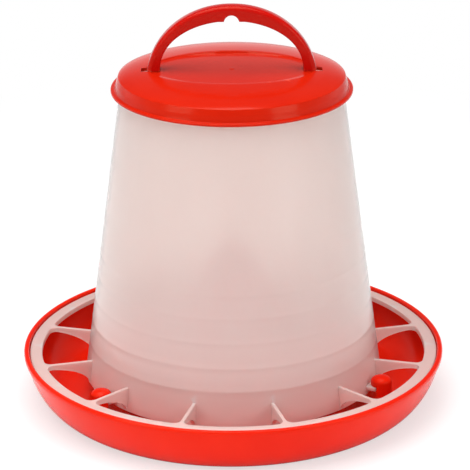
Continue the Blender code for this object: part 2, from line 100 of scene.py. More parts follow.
def filleted(corners: Iterable[Triple], steps: int = 6) -> list[Vector]:
    """Round the corners of a path.

    Args:
        corners: Points of (radius, height, fillet); the fillets of both ends are ignored.
        steps: Straight stretches in each fillet.

    Returns:
        The path's points, each (radius, height).
    """
    points = [(Vector((x, z)), fillet) for x, z, fillet in corners]
    path = []
    for index, (corner, fillet) in enumerate(points):
        if fillet <= 0.0 or index in (0, len(points) - 1):
            path.append(corner)
            continue
        before = (points[index - 1][0] - corner).normalized()
        after = (points[index + 1][0] - corner).normalized()
        half = before.angle(after) / 2
        centre = corner + (before + after).normalized() * (fillet / math.sin(half))
        start = (corner + before * (fillet / math.tan(half)) - centre).normalized()
        end = (corner + after * (fillet / math.tan(half)) - centre).normalized()
        path += [centre + start.slerp(end, step / steps) * fillet for step in range(steps + 1)]
    return path


def swept(start: Vector, pull_start: Vector, pull_end: Vector, end: Vector, steps: int) -> list[Vector]:
    """Return points along a smooth curve.

    Args:
        start: First point.
        pull_start: The point that the curve leaves towards.
        pull_end: The point that the curve arrives from.
        end: Last point.
        steps: Straight stretches along the curve.

    Returns:
        The points, both ends among them.
    """
    path = []
    for step in range(steps + 1):
        t = step / steps
        s = 1.0 - t
        path.append(start * s**3 + pull_start * (3 * s * s * t) + pull_end * (3 * s * t * t) + end * t**3)
    return path


def spaced(path: list[Vector], longest: float) -> list[Vector]:
    """Add points to a path's long straight stretches.

    Args:
        path: The points to start from.
        longest: The longest stretch to leave.

    Returns:
        The path with more points.
    """
    fuller = [path[0]]
    for start, end in zip(path, path[1:]):
        count = max(1, math.ceil((end - start).length / longest))
        fuller += [start.lerp(end, step / count) for step in range(1, count + 1)]
    return fuller


def round_rings(path: Iterable[Vector]) -> list[Ring]:
    """Return a round ring for each (radius, height) point of a path."""
    return [Ring(point.x, point.x, point.y) for point in path]


# The workshop: each helper works as one would by hand, in edit mode or with a modifier


def pick(piece: Piece) -> None:
    """Select one piece alone and make it the active one.

    Args:
        piece: The piece.
    """
    bpy.ops.object.select_all(action="DESELECT")
    piece.select_set(True)
    bpy.context.view_layer.objects.active = piece


@contextmanager
def editing(piece: Piece, test: Callable[[bpy.types.MeshVertex], bool] | None = None) -> Iterator[None]:
    """Open a piece in edit mode with all or some of its vertices selected, and close it afterwards.

    Args:
        piece: The piece to open.
        test: Says whether a vertex is selected; without it all of them are.

    Yields:
        Nothing; the piece is open meanwhile.
    """
    pick(piece)
    bpy.context.tool_settings.mesh_select_mode = (True, False, False)
    bpy.ops.object.mode_set(mode="EDIT")
    bpy.ops.mesh.select_all(action="DESELECT" if test else "SELECT")
    if test:
        bpy.ops.object.mode_set(mode="OBJECT")
        for vertex in piece.data.vertices:
            vertex.select = test(vertex)
        bpy.ops.object.mode_set(mode="EDIT")
    yield
    bpy.ops.object.mode_set(mode="OBJECT")


def named(piece: Piece, name: str) -> Piece:
    """Give a piece and its mesh one name.

    Args:
        piece: The piece.
        name: Its name.

    Returns:
        The same piece.
    """
    piece.name = name
    piece.data.name = name
    return piece


def face_out(piece: Piece) -> Piece:
    """Merge doubled vertices and point the faces outwards.

    Args:
        piece: The piece to work on.

    Returns:
        The same piece.
    """
    with editing(piece):
        bpy.ops.mesh.remove_doubles(threshold=MERGE_DISTANCE)
        bpy.ops.mesh.normals_make_consistent(inside=False)
    return piece


def ring_body(name: str, rings: list[Ring], closed: bool, sides: int = SIDES) -> Piece:
    """Draw a body ring by ring round the Z axis, by extruding and scaling its last ring.

    Args:
        name: The body's name.
        rings: The rings, in the order in which they follow each other.
        closed: Whether the last ring joins the first; otherwise both are capped.
        sides: Vertices in each ring.

    Returns:
        The body, closed and with its faces pointing out.
    """
    first = rings[0]
    bpy.ops.mesh.primitive_circle_add(vertices=sides, radius=first.rx, fill_type="NOTHING")
    body = named(bpy.context.object, name)
    with editing(body):
        bpy.ops.transform.resize(value=(1.0, first.ry / first.rx, 1.0), center_override=ORIGIN)
        bpy.ops.transform.translate(value=(0.0, 0.0, first.z))
        for before, after in zip(rings, rings[1:]):
            bpy.ops.mesh.extrude_edges_move()
            scale = (after.rx / before.rx, after.ry / before.ry, 1.0)
            bpy.ops.transform.resize(value=scale, center_override=ORIGIN)
            bpy.ops.transform.translate(value=(0.0, 0.0, after.z - before.z))
    last = sides * (len(rings) - 1)
    if closed:
        with editing(body, lambda vertex: vertex.index < sides or vertex.index >= last):
            bpy.ops.mesh.bridge_edge_loops()
        return face_out(body)
    for at_end in (lambda vertex: vertex.index >= last, lambda vertex: vertex.index < sides):
        with editing(body, at_end):
            bpy.ops.mesh.extrude_edges_move()
            bpy.ops.mesh.merge(type="CENTER")
    return face_out(body)


def drawn(name: str, outline: list[Vector], low: Vector = Vector(ORIGIN)) -> Piece:
    """Draw a closed outline by extruding one vertex along it.

    Args:
        name: The outline's name.
        outline: Its points, as offsets from low.
        low: The place that it is drawn from.

    Returns:
        The outline, a closed loop of edges.
    """
    bpy.ops.mesh.primitive_plane_add(size=0.001, location=ORIGIN)
    loop = named(bpy.context.object, name)
    with editing(loop):
        bpy.ops.mesh.merge(type="CENTER")
        bpy.ops.transform.translate(value=low + outline[0])
        for start, end in zip(outline, outline[1:] + outline[:1]):
            bpy.ops.mesh.extrude_vertices_move(TRANSFORM_OT_translate={"value": end - start})
        bpy.ops.mesh.select_all(action="SELECT")
        bpy.ops.mesh.remove_doubles(threshold=MERGE_DISTANCE)
    return loop


def plate_body(name: str, outline: list[Vector], half_thickness: float) -> Piece:
    """Fill an outline and extrude it along Y into a plate with its middle on y = 0.

    Args:
        name: The body's name.
        outline: The outline's points, each (x, z).
        half_thickness: Half the plate's thickness.

    Returns:
        The plate, closed and with its faces pointing out.
    """
    points = [Vector((point.x, 0.0, point.y)) for point in outline]
    body = drawn(name, points, Vector((0.0, -half_thickness, 0.0)))
    with editing(body):
        bpy.ops.mesh.edge_face_add()
        rise = Vector((0.0, 2 * half_thickness, 0.0))
        bpy.ops.mesh.extrude_region_move(TRANSFORM_OT_translate={"value": rise})
    return face_out(body)


def loft_body(name: str, outlines: list[list[Vector]]) -> Piece:
    """Draw outlines one above the other, bridge them and cap both ends.

    Args:
        name: The body's name.
        outlines: The outlines, each a closed loop with the same number of points.

    Returns:
        The body, closed and with its faces pointing out.
    """
    body = joined([drawn("outline", outline) for outline in outlines], name)
    with editing(body):
        bpy.ops.mesh.bridge_edge_loops()
    count = len(outlines[0])
    for first in (0, count * (len(outlines) - 1)):
        with editing(body, lambda vertex: first <= vertex.index < first + count):
            bpy.ops.mesh.edge_face_add()
    return face_out(body)


def block_body(name: str, low: Vector, high: Vector) -> Piece:
    """Draw a block between two corners, with its place kept in its mesh.

    Args:
        name: The block's name.
        low: Its lowest corner.
        high: Its highest corner.

    Returns:
        The block.
    """
    bpy.ops.mesh.primitive_cube_add(size=1.0, location=ORIGIN)
    body = named(bpy.context.object, name)
    with editing(body):
        bpy.ops.transform.resize(value=high - low, center_override=ORIGIN)
        bpy.ops.transform.translate(value=(low + high) / 2)
    return body


def apply_all(piece: Piece) -> Piece:
    """Apply every modifier of a piece.

    Args:
        piece: The piece.

    Returns:
        The same piece.
    """
    pick(piece)
    for modifier in list(piece.modifiers):
        bpy.ops.object.modifier_apply(modifier=modifier.name)
    return piece


def bevelled(piece: Piece, width: float, segments: int, limit: str = "ANGLE") -> Piece:
    """Round edges of a piece with an applied modifier.

    Args:
        piece: The piece to work on.
        width: The rounding's width.
        segments: Faces across the rounding.
        limit: What chooses the edges: ANGLE for all sharp ones, WEIGHT for the edges' own weights.

    Returns:
        The same piece.
    """
    rounding = piece.modifiers.new("edges", "BEVEL")
    rounding.limit_method = limit
    rounding.angle_limit = SHARP_ANGLE
    rounding.width = width
    rounding.segments = segments
    return apply_all(piece)


def work(piece: Piece, join: Join, tools: Iterable[Piece]) -> Piece:
    """Add tool bodies to a piece or cut them away, and clear the tools up.

    Args:
        piece: The piece to work on.
        join: Whether the tools are added or cut away.
        tools: The tool bodies, one after the other.

    Returns:
        The same piece.
    """
    for tool in tools:
        step = piece.modifiers.new(tool.name, "BOOLEAN")
        step.operation = join.value
        step.solver = "EXACT"
        step.object = tool
        apply_all(piece)
        bpy.data.objects.remove(tool, do_unlink=True)
    return piece


def turned_copies(piece: Piece, first_angle: float, count: int) -> list[Piece]:
    """Copy a piece evenly round the Z axis, each copy with its own mesh.

    Args:
        piece: The piece to copy, drawn on the +X side; it becomes the first copy.
        first_angle: The first copy's angle.
        count: How many copies there are.

    Returns:
        The copies, each with its place in its mesh.
    """
    copies = [piece]
    for index in range(1, count):
        copy = piece.copy()
        copy.data = piece.data.copy()
        bpy.context.collection.objects.link(copy)
        copies.append(named(copy, f"{piece.name}_{index}"))
    for index, copy in enumerate(copies):
        angle = first_angle + index * math.tau / count
        with editing(copy):
            bpy.ops.transform.rotate(value=-angle, orient_axis="Z", center_override=ORIGIN)
    return copies


def joined(pieces: list[Piece], name: str) -> Piece:
    """Join pieces into one object.

    Args:
        pieces: The pieces.
        name: The object's name.

    Returns:
        The object.
    """
    pick(pieces[0])
    for piece in pieces:
        piece.select_set(True)
    bpy.ops.object.join()
    return named(bpy.context.object, name)


def hand_over(piece: Piece, finish: bpy.types.Material, node: str) -> Piece:
    """Smooth and dress a finished piece and put it in the place of a node of the frame.

    Args:
        piece: The finished piece.
        finish: Its material.
        node: The node that it stands for.

    Returns:
        The same piece.
    """
    pick(piece)
    bpy.ops.object.shade_smooth_by_angle(angle=SMOOTH_ANGLE)
    piece.data.materials.clear()
    piece.data.materials.append(finish)
    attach(piece, BODY)
    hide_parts(node)
    LOG.info("%s: %d faces, stands for %s", piece.name, len(piece.data.polygons), node)
    return piece


# Finishes


@dataclass
class NodeDesk:
    """The nodes of a material or of the surround, with short ways to add and join them."""

    owner: bpy.types.Material | bpy.types.World

    @classmethod
    def fresh(cls, name: str) -> NodeDesk:
        """Open a new material's nodes.

        Args:
            name: The material's name.

        Returns:
            The desk with its nodes.
        """
        material = bpy.data.materials.new(name)
        material.use_nodes = True
        return cls(material)

    def give(self, socket: Socket, value: object) -> None:
        """Link a socket to another one, or set its value.

        Args:
            socket: The socket.
            value: The other socket or the value.
        """
        if isinstance(value, Socket):
            self.owner.node_tree.links.new(value, socket)
        else:
            socket.default_value = value

    def fill(self, node: str | bpy.types.ShaderNode, **values: object) -> bpy.types.ShaderNode:
        """Fill sockets of a node with values or links.

        Args:
            node: The node or its name.
            **values: What the sockets take, with underscores for the spaces in their names.

        Returns:
            The node.
        """
        if isinstance(node, str):
            node = self.owner.node_tree.nodes[node]
        for key, value in values.items():
            self.give(node.inputs[key.replace("_", " ")], value)
        return node

    def add(self, kind: str, *values: object, **named_values: object) -> bpy.types.ShaderNode:
        """Add a node.

        Args:
            kind: The node's type without its leading ShaderNode, and after a colon what it does.
            *values: What its first sockets take.
            **named_values: What its named sockets take.

        Returns:
            The node.
        """
        kind, _, operation = kind.partition(":")
        node = self.owner.node_tree.nodes.new("ShaderNode" + kind)
        if operation:
            node.operation = operation
        for socket, value in zip(node.inputs, values):
            self.give(socket, value)
        return self.fill(node, **named_values)

    def object_place(self, scale: Vector = EVEN) -> Socket:
        """Return the place on the piece, stretched by a scale."""
        place = self.add("TexCoord").outputs["Object"]
        return self.add("Mapping", Vector=place, Scale=scale).outputs["Vector"]

    def height(self) -> Socket:
        """Return the height on the piece."""
        return self.add("SeparateXYZ", self.object_place()).outputs["Z"]

    def round_place(self, turn: float, across: float) -> Socket:
        """Return a place that follows the turned shape, so that a pattern on it runs round the Z axis.

        Args:
            turn: How much the pattern changes on its way round.
            across: How much it changes in a metre outwards or upwards.

        Returns:
            The socket that gives the place.
        """
        flat = self.object_place(Vector((1.0, 1.0, 0.0)))
        length = self.add("VectorMath:LENGTH", flat).outputs["Value"]
        heading = self.add("VectorMath:NORMALIZE", flat).outputs["Vector"]
        wide = self.add("VectorMath:SCALE", heading, Scale=turn).outputs["Vector"]
        level = self.add("Math:ADD", length, self.height()).outputs[0]
        rise = self.add("Math:MULTIPLY", level, across).outputs[0]
        up = self.add("CombineXYZ", Z=rise).outputs["Vector"]
        return self.add("VectorMath:ADD", wide, up).outputs["Vector"]

    def edges(self, start: float = 0.52, end: float = 0.62) -> Socket:
        """Return how much a place is on a sharp outer edge, from 0 to 1: wear on the red plastic, a painted
        highlight on the milky one.
        """
        return self.spread(self.add("NewGeometry").outputs["Pointiness"], 0.0, 1.0, start, end)

    def noise(self, place: Socket, scale: float, detail: float) -> Socket:
        """Return a soft random pattern, from 0 to 1, with about that many patches in a metre."""
        return self.add("TexNoise", Vector=place, Scale=scale, Detail=detail).outputs["Fac"]

    def spread(self, value: Socket, low: float, high: float, start: float = 0.3, end: float = 0.7) -> Socket:
        """Stretch a pattern between two values.

        Args:
            value: The pattern.
            low: What the pattern's start gives.
            high: What the pattern's end gives.
            start: The pattern's value that gives low.
            end: The pattern's value that gives high.

        Returns:
            The socket that gives the new value.
        """
        node = self.add("MapRange", Value=value, From_Min=start, From_Max=end, To_Min=low, To_Max=high)
        return node.outputs["Result"]

    def blend(self, share: Socket, first: Triple | Socket, second: Triple) -> Socket:
        """Mix two colours by a pattern.

        Args:
            share: How much of the second colour shows.
            first: The first colour, or a socket that gives it.
            second: The second colour.

        Returns:
            The socket that gives the colour.
        """
        node = self.add("Mix", Factor=share)
        node.data_type = "RGBA"
        colours = [socket for socket in node.inputs if socket.type == "RGBA"]
        self.give(colours[0], (*first, 1.0) if isinstance(first, tuple) else first)
        self.give(colours[1], (*second, 1.0))
        return [socket for socket in node.outputs if socket.type == "RGBA"][0]

    def relief(self, height: Socket, strength: float, depth: float, **under: Socket) -> Socket:
        """Turn a pattern into a raised surface.

        Args:
            height: The pattern.
            strength: How strongly it shows.
            depth: Its depth in metres.
            **under: As Normal, a relief that it lies on.

        Returns:
            The socket that gives the surface's direction.
        """
        node = self.add("Bump", Height=height, Strength=strength, Distance=depth, **under)
        return node.outputs["Normal"]


@dataclass(frozen=True)
class RedPlastic:
    """Glossy red moulded plastic: cloudy flow, marks that run round the piece, and edges paler from wear."""

    name: str
    # The default red is the lid's: painted darker than the pan's red, as painted shade against the strong
    # top light
    colour: Triple = (0.56, 0.014, 0.0025)
    deep: Triple = (0.51, 0.010, 0.0018)
    edge_wear_and_highlight: Triple = (0.68, 0.045, 0.020)
    light_bending: float = 1.49
    specular: float = 0.20
    specular_tint: Triple = (1.0, 0.62, 0.40)
    roughness: tuple[float, float] = (0.13, 0.21)
    relief: float = 0.3
    cloud_scale: float = 22.0
    peel_scale: float = 330.0
    peel_depth: float = 0.00002
    mark_turn: float = 1.5
    mark_scale: float = 900.0
    mark_depth: float = 0.000012

    def make(self) -> bpy.types.Material:
        """Make the material.

        Returns:
            The material.
        """
        desk = NodeDesk.fresh(self.name)
        place = desk.object_place()
        cloud = desk.spread(desk.noise(place, self.cloud_scale, 4.0), 0.0, 1.0)
        flow = desk.blend(cloud, self.colour, self.deep)
        marks = desk.noise(desk.round_place(self.mark_turn, self.mark_scale), 1.0, 5.0)
        peel = desk.relief(desk.noise(place, self.peel_scale, 2.0), self.relief, self.peel_depth)
        desk.fill(
            "Principled BSDF",
            IOR=self.light_bending,
            Specular_IOR_Level=self.specular,
            Specular_Tint=(*self.specular_tint, 1.0),
            Base_Color=desk.blend(desk.edges(), flow, self.edge_wear_and_highlight),
            Roughness=desk.spread(marks, *self.roughness),
            Normal=desk.relief(marks, self.relief, self.mark_depth, Normal=peel),
        )
        return desk.owner


@dataclass(frozen=True)
class MilkyPlastic:
    """Milky translucent plastic: satin under a thin gloss, cloudy, with a painted pink glow near the red
    pan, painted highlights on sharp edges and painted grey shade where seen edge on.
    """

    name: str
    colour: Triple = (0.985, 0.868, 0.825)
    cloud: Triple = (0.965, 0.835, 0.790)
    edge_wear_and_highlight: Triple = (0.99, 0.90, 0.87)
    painted_edge_shade: Triple = (0.42, 0.42, 0.43)
    painted_edge_shade_start: float = 0.74
    foot_painted_red_glow: Triple = (0.99, 0.74, 0.69)
    foot_span: tuple[float, float] = (0.022, 0.072)
    foot_transmission: float = 0.44
    transmission: float = 0.62
    light_bending: float = 1.45
    specular: float = 0.5
    roughness: tuple[float, float] = (0.30, 0.36)
    coat: float = 0.35
    coat_roughness: float = 0.07
    cloud_stretch: Triple = (1.0, 1.0, 0.4)
    cloud_scale: float = 26.0
    grain_relief: float = 0.2
    grain_scale: float = 300.0
    grain_depth: float = 0.00002
    mark_relief: float = 0.3
    mark_turn: float = 1.2
    mark_scale: float = 160.0
    mark_depth: float = 0.00001

    def make(self) -> bpy.types.Material:
        """Make the material.

        Returns:
            The material.
        """
        desk = NodeDesk.fresh(self.name)
        cloud = desk.noise(desk.object_place(Vector(self.cloud_stretch)), self.cloud_scale, 4.0)
        flow = desk.blend(desk.spread(cloud, 0.0, 1.0), self.colour, self.cloud)
        # Near the red pan the plastic is thicker and lets less through. Its colour there is painted pinker:
        # a painted glow of the red light from the pan
        height = desk.height()
        clear = desk.spread(height, self.foot_transmission, self.transmission, *self.foot_span)
        flow = desk.blend(desk.spread(height, 1.0, 0.0, *self.foot_span), flow, self.foot_painted_red_glow)
        # Where the wall is seen edge on, its colour is painted grey: painted shade along the outline against
        # the white
        facing = desk.add("LayerWeight", Blend=0.5).outputs["Facing"]
        flow = desk.blend(desk.spread(facing, 0.0, 1.0, self.painted_edge_shade_start, 1.0), flow, self.painted_edge_shade)
        marks = desk.noise(desk.round_place(self.mark_turn, self.mark_scale), 1.0, 1.5)
        grain = desk.noise(desk.object_place(), self.grain_scale, 2.0)
        under = desk.relief(grain, self.grain_relief, self.grain_depth)
        desk.fill(
            "Principled BSDF",
            IOR=self.light_bending,
            Specular_IOR_Level=self.specular,
            Coat_Weight=self.coat,
            Coat_Roughness=self.coat_roughness,
            Transmission_Weight=clear,
            # The paler colour on sharp edges is a painted highlight
            Base_Color=desk.blend(desk.edges(), flow, self.edge_wear_and_highlight),
            Roughness=desk.spread(marks, *self.roughness),
            Normal=desk.relief(marks, self.mark_relief, self.mark_depth, Normal=under),
        )
        return desk.owner


# The pieces


@dataclass
class Pan:
    """The red pan: trough, spreading cone, rim with a seat for the grid, and bayonet lugs."""

    rim_radius: float = field(default_factory=lambda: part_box("base_pan")[1].x)
    cone_height: float = field(default_factory=lambda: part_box("base_pan")[1].z)
    height: float = 0.0308
    spacing: float = 0.006
    rim_width: float = 0.0032
    rim_inner_round: float = 0.0009
    rim_outer_round: float = 0.0012
    lip_height: float = 0.0028
    lip_step: float = 0.0011
    lip_round: float = 0.0004
    foot_radius: float = 0.112
    foot_width: float = 0.0055
    foot_rise: float = 0.0010
    wall: float = 0.0023
    side_steps: int = 22
    side_pull_top: tuple[float, float] = (0.10, 0.35)
    side_pull_foot: tuple[float, float] = (0.56, 0.15)
    ledge_width: float = 0.0018
    ledge_z: float = 0.0260
    cone_base_radius: float = 0.079
    cone_base_round: float = 0.0100
    cone_tip_radius: float = 0.0035
    cone_tip_round: float = 0.0040
    hollow_base_round: float = 0.0080
    hollow_tip_radius: float = 0.0018
    hollow_tip_round: float = 0.0012
    lug_count: int = 3
    lug_sides: int = 48
    lug_spacing: float = 0.0040
    lug_first_angle: float = math.radians(96.0)
    lug_head_radius: float = 0.0064
    lug_head_z: float = 0.0199
    lug_head_rim: float = 0.0022
    lug_head_dome: float = 0.0036
    lug_dome_steps: int = 12
    lug_radius: float = 0.0986
    lug_neck_radius: float = 0.0980

    @property
    def floor_z(self) -> float:
        """Height of the trough's floor."""
        return self.foot_rise + self.wall

    def side(self, top: Vector, foot: Vector) -> list[Vector]:
        """Return the pan's rounded side.

        Args:
            top: Where the side starts, under the rim.
            foot: Where it ends, at the foot.

        Returns:
            The side's points from top to foot.
        """
        span = top - foot
        pull_top = top - Vector((span.x * self.side_pull_top[0], span.y * self.side_pull_top[1]))
        pull_foot = foot + Vector((span.x * self.side_pull_foot[0], span.y * self.side_pull_foot[1]))
        return swept(top, pull_top, pull_foot, foot, self.side_steps)

    def section(self) -> list[Vector]:
        """Draw the pan's section.

        Returns:
            Its points from the cone's tip, over the rim, and back under the cone.
        """
        floor_outer = self.foot_radius - self.wall
        rim_inner = self.rim_radius - self.rim_width
        ledge_inner = rim_inner - self.ledge_width
        lip_z = self.height - self.lip_height
        inside = filleted([
            (POLE_RADIUS, self.cone_height, 0.0),
            (self.cone_tip_radius, self.cone_height, self.cone_tip_round),
            (self.cone_base_radius, self.floor_z, self.cone_base_round),
            (floor_outer, self.floor_z, 0.0),
        ], 10)
        inner_side = self.side(Vector((ledge_inner, self.ledge_z)), Vector((floor_outer, self.floor_z)))
        wall_top = Vector((self.rim_radius - self.lip_step, lip_z - self.lip_round))
        rim = filleted([
            (ledge_inner, self.ledge_z, 0.0),
            (rim_inner, self.ledge_z, 0.0),
            (rim_inner, self.height, self.rim_inner_round),
            (self.rim_radius, self.height, self.rim_outer_round),
            (self.rim_radius, lip_z, self.lip_round),
            (wall_top.x, wall_top.y, 0.0),
        ])
        outer_side = self.side(wall_top, Vector((self.foot_radius, 0.0)))
        foot_inner = self.foot_radius - self.foot_width
        underside = filleted([
            (self.foot_radius, 0.0, 0.0),
            (foot_inner, 0.0, 0.0),
            (foot_inner - self.foot_rise, self.foot_rise, 0.0),
            (self.cone_base_radius - self.wall, self.foot_rise, self.hollow_base_round),
            (self.hollow_tip_radius, self.cone_height - self.wall, self.hollow_tip_round),
            (POLE_RADIUS, self.cone_height - self.wall, 0.0),
        ])
        path = inside[:-1] + inner_side[:0:-1] + rim[:-1] + outer_side[:-1] + underside
        return spaced(path, self.spacing)

    def lug(self) -> Piece:
        """Model one bayonet lug: a stout post with a domed head that overhangs inwards.

        Returns:
            The lug, on the +X side.
        """
        radius = self.lug_head_radius
        foot_z = self.foot_rise + self.wall / 2
        top = self.lug_head_z + self.lug_head_rim
        post = [Vector((POLE_RADIUS, foot_z)), Vector((radius, foot_z)), Vector((radius, top))]
        path = spaced(post, self.lug_spacing)
        for step in range(1, self.lug_dome_steps):
            angle = step * QUARTER_TURN / self.lug_dome_steps
            path.append(Vector((radius * math.cos(angle), top + self.lug_head_dome * math.sin(angle))))
        lug = ring_body("lug", round_rings(path), closed=False, sides=self.lug_sides)
        with editing(lug):
            bpy.ops.transform.translate(value=(self.lug_radius, 0.0, 0.0))
        low = Vector((self.lug_radius - 2 * radius, -2 * radius, 0.0))
        high = Vector((self.lug_neck_radius, 2 * radius, self.lug_head_z))
        return work(lug, Join.CUT, [block_body("undercut", low, high)])

    def build(self, finish: bpy.types.Material) -> Piece:
        """Build the pan and hand it over.

        Args:
            finish: The pan's material.

        Returns:
            The finished pan.
        """
        pan = ring_body("pan", round_rings(self.section()), closed=False)
        work(pan, Join.ADD, turned_copies(self.lug(), self.lug_first_angle, self.lug_count))
        return hand_over(pan, finish, "base_pan")


@dataclass
class Hopper:
    """The milky hopper: a conical wall, the grid that saves the feed, and the tabs that the lugs hold."""

    ring_outer_radius: float = field(default_factory=lambda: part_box("hopper")[1].x)
    skirt_z: float = field(default_factory=lambda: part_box("hopper")[0].z)
    top_z: float = field(default_factory=lambda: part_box("hopper")[1].z)
    top_radius: float = 0.0666
    skirt_radius: float = 0.0919
    skirt_chamfer: float = 0.0006
    wall: float = 0.0020
    wall_edge: float = 0.0005
    wall_spacing: float = 0.004
    bead: float = 0.0004
    bead_height: float = 0.0022
    mark_levels: tuple[float, ...] = (0.0362, 0.0502, 0.0653, 0.0803, 0.0941)
    mark_rise: float = 0.00005
    mark_width: float = 0.0005
    ring_width: float = 0.0074
    ring_top_z: float = 0.0293
    ring_thickness: float = 0.0030
    ring_edge: float = 0.0005
    ring_spacing: float = 0.006
    arch_steps: int = 24
    fin_count: int = 12
    fin_first_angle: float = math.radians(15.0)
    fin_thickness: float = 0.0022
    fin_flare: float = 0.0048
    fin_draft: float = 0.0002
    fin_edge: float = 0.0005
    fin_above_skirt_edge: float = 0.0004
    flare_steps: int = 10
    bay_steps: int = 6
    tool_reach: float = 0.002
    tab_count: int = 3
    tab_first_angle: float = math.radians(96.0)
    tab_above_skirt_edge: float = 0.0027
    tab_reach: float = 0.0055
    tab_width: float = 0.0130
    tab_thickness: float = 0.0024
    tab_edge: float = 0.0005

    @property
    def ring_inner_radius(self) -> float:
        """The grid ring's inner radius."""
        return self.ring_outer_radius - self.ring_width

    @property
    def ring_bottom_z(self) -> float:
        """Height of the grid ring's underside."""
        return self.ring_top_z - self.ring_thickness

    def radius(self, z: float) -> float:
        """Return the wall's outer radius at a height."""
        share = (z - self.skirt_z) / (self.top_z - self.skirt_z)
        return self.skirt_radius + (self.top_radius - self.skirt_radius) * share

    def wall_section(self) -> list[Vector]:
        """Draw the wall's section with its level marks.

        Returns:
            Its points from the skirt's inside, round the skirt, up to the mouth and over it.
        """
        bead_z = self.top_z - self.bead_height
        bead_radius = self.top_radius + self.bead
        edge = self.wall_edge
        marks = []
        for z in self.mark_levels:
            marks.append((self.radius(z), z, 0.0))
            marks.append((self.radius(z) + self.mark_rise, z + self.mark_width, 0.0))
            marks.append((self.radius(z + 3 * self.mark_width), z + 3 * self.mark_width, 0.0))
        outside = filleted([
            (self.skirt_radius - self.wall + self.skirt_chamfer, self.skirt_z, 0.0),
            (self.skirt_radius, self.skirt_z, edge),
            *marks,
            (self.radius(bead_z), bead_z, 0.0),
            (bead_radius, bead_z + self.bead, self.bead / 2),
            (bead_radius, self.top_z, edge),
            (self.top_radius - self.wall, self.top_z, edge),
            (self.skirt_radius - self.wall, self.skirt_z + edge, 0.0),
        ], 4)
        return spaced(outside, self.wall_spacing)

    def grid(self) -> Piece:
        """Model the grid: an arched ring with a window between each pair of fins.

        Returns:
            The grid.
        """
        arch_foot_z = self.skirt_z + self.fin_above_skirt_edge
        reach = self.ring_inner_radius - self.skirt_radius
        rise = self.ring_bottom_z - arch_foot_z
        under = []
        for step in range(self.arch_steps + 1):
            angle = QUARTER_TURN * step / self.arch_steps
            under.append(Vector((self.ring_inner_radius - reach * math.cos(angle),
                                 arch_foot_z + rise * math.sin(angle))))
        sunk = self.wall / 2
        foot = Vector((self.radius(arch_foot_z) - sunk, arch_foot_z))
        rim = filleted([
            (self.ring_inner_radius, self.ring_bottom_z, 0.0),
            (self.ring_outer_radius, self.ring_bottom_z, self.ring_edge / 2),
            (self.ring_outer_radius, self.ring_top_z, self.ring_edge),
            (self.radius(self.ring_top_z) - sunk, self.ring_top_z, 0.0),
        ])
        section = spaced([foot] + under + rim[1:], self.ring_spacing)
        grid = ring_body("grid", round_rings(section), closed=True)
        half_step = math.pi / self.fin_count
        windows = turned_copies(self.window(), self.fin_first_angle + half_step, self.fin_count)
        return work(grid, Join.CUT, [joined(windows, "windows")])

    def window_outline(self, z: float, wider: float) -> list[Vector]:
        """Return the outline of a window of the grid, drawn about the X axis.

        Args:
            z: The outline's height.
            wider: How far the fins and the ring stand back from it.

        Returns:
            The outline's points.
        """
        half_turn = math.pi / self.fin_count
        half_fin = self.fin_thickness / 2 - wider
        flare = self.fin_flare - wider
        ring = self.ring_inner_radius + wider
        inner = self.radius(self.ring_top_z) - self.wall
        along = Vector((math.cos(half_turn), math.sin(half_turn)))
        centre_radius = ring - flare
        centre_angle = half_turn - math.asin((half_fin + flare) / centre_radius)
        centre = Vector((math.cos(centre_angle), math.sin(centre_angle))) * centre_radius
        side_end = centre + Vector((-along.y, along.x)) * flare
        half = [side_end - along * (side_end.length - inner)]
        first = QUARTER_TURN + half_turn
        for step in range(self.flare_steps + 1):
            angle = first + (centre_angle - first) * step / self.flare_steps
            half.append(centre + Vector((math.cos(angle), math.sin(angle))) * flare)
        for step in range(1, self.bay_steps):
            angle = centre_angle * (1 - step / self.bay_steps)
            half.append(Vector((math.cos(angle), math.sin(angle))) * ring)
        half.append(Vector((ring, 0.0)))
        outline = half + [Vector((point.x, -point.y)) for point in reversed(half[:-1])]
        return [Vector((point.x, point.y, z)) for point in outline]

    def window(self) -> Piece:
        """Model the body of one window of the grid, with drafted sides and a rounded upper edge.

        Returns:
            The window's body.
        """
        edge = self.fin_edge
        outlines = [self.window_outline(self.skirt_z - self.tool_reach, -self.fin_draft)]
        out, drop = 0.0, 0.0
        for turn in (0.0, math.pi / 6, math.pi / 3):
            out, drop = edge * (1 - math.cos(turn)), edge * (1 - math.sin(turn))
            outlines.append(self.window_outline(self.ring_top_z - drop, out))
        # The last slope runs on past the ring's top, so that no edge of the tool lies in that face
        past = self.window_outline(self.ring_top_z + drop, 2 * edge - out)
        return loft_body("window", outlines + [past])

    def tab(self) -> Piece:
        """Model one tab of the skirt.

        Returns:
            The tab, on the +X side.
        """
        z = self.skirt_z + self.tab_above_skirt_edge
        low = Vector((self.radius(z) - self.wall / 2, -self.tab_width / 2, z))
        high = Vector((self.skirt_radius + self.tab_reach, self.tab_width / 2, z + self.tab_thickness))
        return bevelled(block_body("tab", low, high), self.tab_edge, 3)

    def build(self, finish: bpy.types.Material) -> Piece:
        """Build the hopper and hand it over.

        Args:
            finish: The hopper's material.

        Returns:
            The finished hopper.
        """
        hopper = ring_body("feed_hopper", round_rings(self.wall_section()), closed=True)
        work(hopper, Join.ADD, [self.grid()])
        work(hopper, Join.ADD, turned_copies(self.tab(), self.tab_first_angle, self.tab_count))
        return hand_over(hopper, finish, "hopper")


